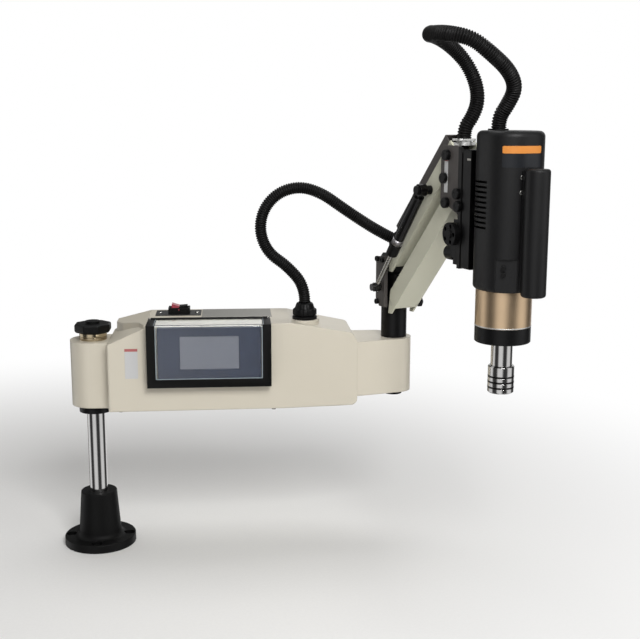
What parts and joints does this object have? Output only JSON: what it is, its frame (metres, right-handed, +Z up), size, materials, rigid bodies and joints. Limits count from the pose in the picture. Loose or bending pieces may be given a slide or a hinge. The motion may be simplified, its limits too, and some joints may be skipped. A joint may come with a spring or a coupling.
{
  "type": "arm tapping machine",
  "caption": "Bench arm tapping machine: column, swinging arm with display panel, sprung parallelogram arm and a tilting servo tapping head with a quick-change chuck.",
  "frame": {"origin": "centre of the base flange's underside, on the column's axis", "axes": "+Z up along the column; +X along the first arm towards the elbow; +Y to the back, away from the display"},
  "size_m": [0.7237, 0.4425, 0.8439],
  "materials": {
    "cream_paint": "semi-gloss cream paint",
    "grey_metal": "satin dark grey paint",
    "black_metal": "satin black oxide",
    "motor_shell": "moulded, charcoal",
    "dark_paint": "gloss black paint",
    "bare_steel": "turned steel",
    "brass": "turned brass",
    "gold_aluminium": "gold anodised",
    "plate_metal": "black anodised sheet",
    "blank_metal": "satin sheet, bare",
    "black_plastic": "moulded",
    "panel_plastic": "moulded, dark blue",
    "button_plastic": "gloss",
    "display_glass": "grey display glass",
    "clear_cover": "clear acrylic",
    "black_rubber": "corrugated hose"
  },
  "bodies": {
    "stand": {"base_flange": "black_metal", "column": "bare_steel", "stop_collar": "black_metal"},
    "clamp_knob": {"lock_knob": "black_plastic", "knob_stud": "bare_steel"},
    "arm": {"arm_housing": "cream_paint", "bottom_cover": "cream_paint", "cover_screws": "bare_steel", "column_bushes": "brass", "elbow_bushes": "brass", "thrust_washer": "brass", "servo_driver": "black_metal", "power_supply": "bare_steel", "operator_panel": "panel_plastic", "display_glass": "display_glass", "hinge_pin": "bare_steel", "switch_plate": "plate_metal", "switch_body": "black_plastic", "name_plate": "blank_metal", "gland_body": "black_plastic", "gland_nut": "black_plastic", "lower_hose": "black_rubber"},
    "hood": {"cover_frame": "black_plastic", "cover_window": "clear_cover"},
    "rocker": {"rocker_switch": "black_plastic"},
    "elbow": {"elbow_shaft": "black_metal", "elbow_retainer": "bare_steel", "lower_bracket": "black_metal", "anchor_plate": "grey_metal", "lower_pivot_pins": "black_metal", "hose_socket": "black_metal"},
    "beam": {"main_beam": "cream_paint"},
    "link": {"upper_link": "cream_paint", "cable_duct": "grey_metal", "hose_saddle": "bare_steel", "spring_stud": "black_metal"},
    "gas_tube": {"spring_tube": "dark_paint", "spring_cap": "black_plastic"},
    "gas_rod": {"spring_rod": "bare_steel"},
    "head": {"head_bracket": "grey_metal", "head_bolts": "black_metal", "upper_pivot_pins": "black_metal", "clamp_block": "grey_metal", "swivel_shaft": "bare_steel", "swivel_nut": "bare_steel", "upper_hose_front": "black_rubber", "upper_hose_rear": "black_rubber"},
    "wheel": {"clamp_wheel": "black_plastic"},
    "plunger": {"index_plunger": "black_metal"},
    "motor": {"motor_cover": "motor_shell", "back_plate": "black_metal", "servo_motor": "black_metal", "handle_pod": "motor_shell", "gearbox_ring": "gold_aluminium", "lower_ring": "black_metal", "hose_collar": "black_plastic"},
    "start_key": {"start_button": "button_plastic"},
    "reverse_key": {"reverse_button": "button_plastic"},
    "spindle": {"spindle": "bare_steel"},
    "sleeve": {"chuck_sleeve": "bare_steel"}
  },
  "joints": [
    {"name": "column_swivel", "type": "hinge", "parent": "stand", "child": "arm", "pos_m": [0, 0, 0.3], "axis": [0, 0, 1], "range_deg": [-175, 175]},
    {"name": "clamp_knob_turn", "type": "hinge", "parent": "stand", "child": "clamp_knob", "pos_m": [0, 0, 0.37], "axis": [0, 0, 1], "continuous": true},
    {"name": "cover_hinge", "type": "hinge", "parent": "arm", "child": "hood", "pos_m": [0.193, -0.023, 0.39135], "axis": [-1, 0, 0], "range_deg": [0, 100]},
    {"name": "power_rocker", "type": "hinge", "parent": "arm", "child": "rocker", "pos_m": [0.141, 0.038, 0.397], "axis": [0, 1, 0], "range_deg": [-14, 0]},
    {"name": "elbow_swivel", "type": "hinge", "parent": "arm", "child": "elbow", "pos_m": [0.503, 0, 0.3], "axis": [0, 0, 1], "range_deg": [-60, 160], "deforming": ["lower_hose"]},
    {"name": "arm_lift", "type": "hinge", "parent": "elbow", "child": "link", "pos_m": [0.51326, -0.02605, 0.484], "axis": [-0.9304, -0.3665, 0], "range_deg": [-66.5, 13.5]},
    {"name": "beam_pivot", "type": "hinge", "parent": "elbow", "child": "beam", "pos_m": [0.51326, -0.02605, 0.414], "axis": [-0.9304, -0.3665, 0], "range_deg": [-66.5, 13.5]},
    {"name": "head_level", "type": "hinge", "parent": "link", "child": "head", "pos_m": [0.57583, -0.18488, 0.66389], "axis": [-0.9304, -0.3665, 0], "range_deg": [-13.5, 66.5], "deforming": ["upper_hose_rear"]},
    {"name": "spring_tube_swing", "type": "hinge", "parent": "link", "child": "gas_tube", "pos_m": [0.52005, -0.14697, 0.60896], "axis": [-0.9304, -0.3665, 0], "range_deg": [-4, 14]},
    {"name": "spring_stroke", "type": "slide", "parent": "gas_tube", "child": "gas_rod", "axis": [-0.2308, 0.586, -0.7767], "range_m": [-0.04, 0.012]},
    {"name": "head_swivel", "type": "hinge", "parent": "head", "child": "motor", "pos_m": [0.59782, -0.24071, 0.58689], "axis": [0.3665, -0.9304, 0], "range_deg": [-90, 90], "deforming": ["upper_hose_front"]},
    {"name": "clamp_wheel_turn", "type": "hinge", "parent": "head", "child": "wheel", "pos_m": [0.55355, -0.21838, 0.54989], "axis": [0.9304, 0.3665, 0], "continuous": true},
    {"name": "index_pull", "type": "slide", "parent": "head", "child": "plunger", "axis": [-0.3665, 0.9304, 0], "range_m": [0, 0.004]},
    {"name": "start_press", "type": "slide", "parent": "motor", "child": "start_key", "axis": [0.2504, 0.9681, 0], "range_m": [0, 0.0015], "stiffness_N_per_m": 300},
    {"name": "reverse_press", "type": "slide", "parent": "motor", "child": "reverse_key", "axis": [0.2504, 0.9681, 0], "range_m": [0, 0.0015], "stiffness_N_per_m": 300},
    {"name": "spindle_turn", "type": "hinge", "parent": "motor", "child": "spindle", "pos_m": [0.61662, -0.28844, 0.39389], "axis": [0, 0, 1], "continuous": true},
    {"name": "chuck_release", "type": "slide", "parent": "spindle", "child": "sleeve", "axis": [0, 0, 1], "range_m": [0, 0.006], "stiffness_N_per_m": 400}
  ],
  "couplings": [
    {"joint": "beam_pivot", "follows": "arm_lift", "ratio": 1},
    {"joint": "head_level", "follows": "arm_lift", "ratio": -1},
    {"joint": "spring_tube_swing", "follows": "arm_lift", "ratio": -0.175},
    {"joint": "spring_stroke", "follows": "arm_lift", "m_per_rad": 0.028}
  ]
}
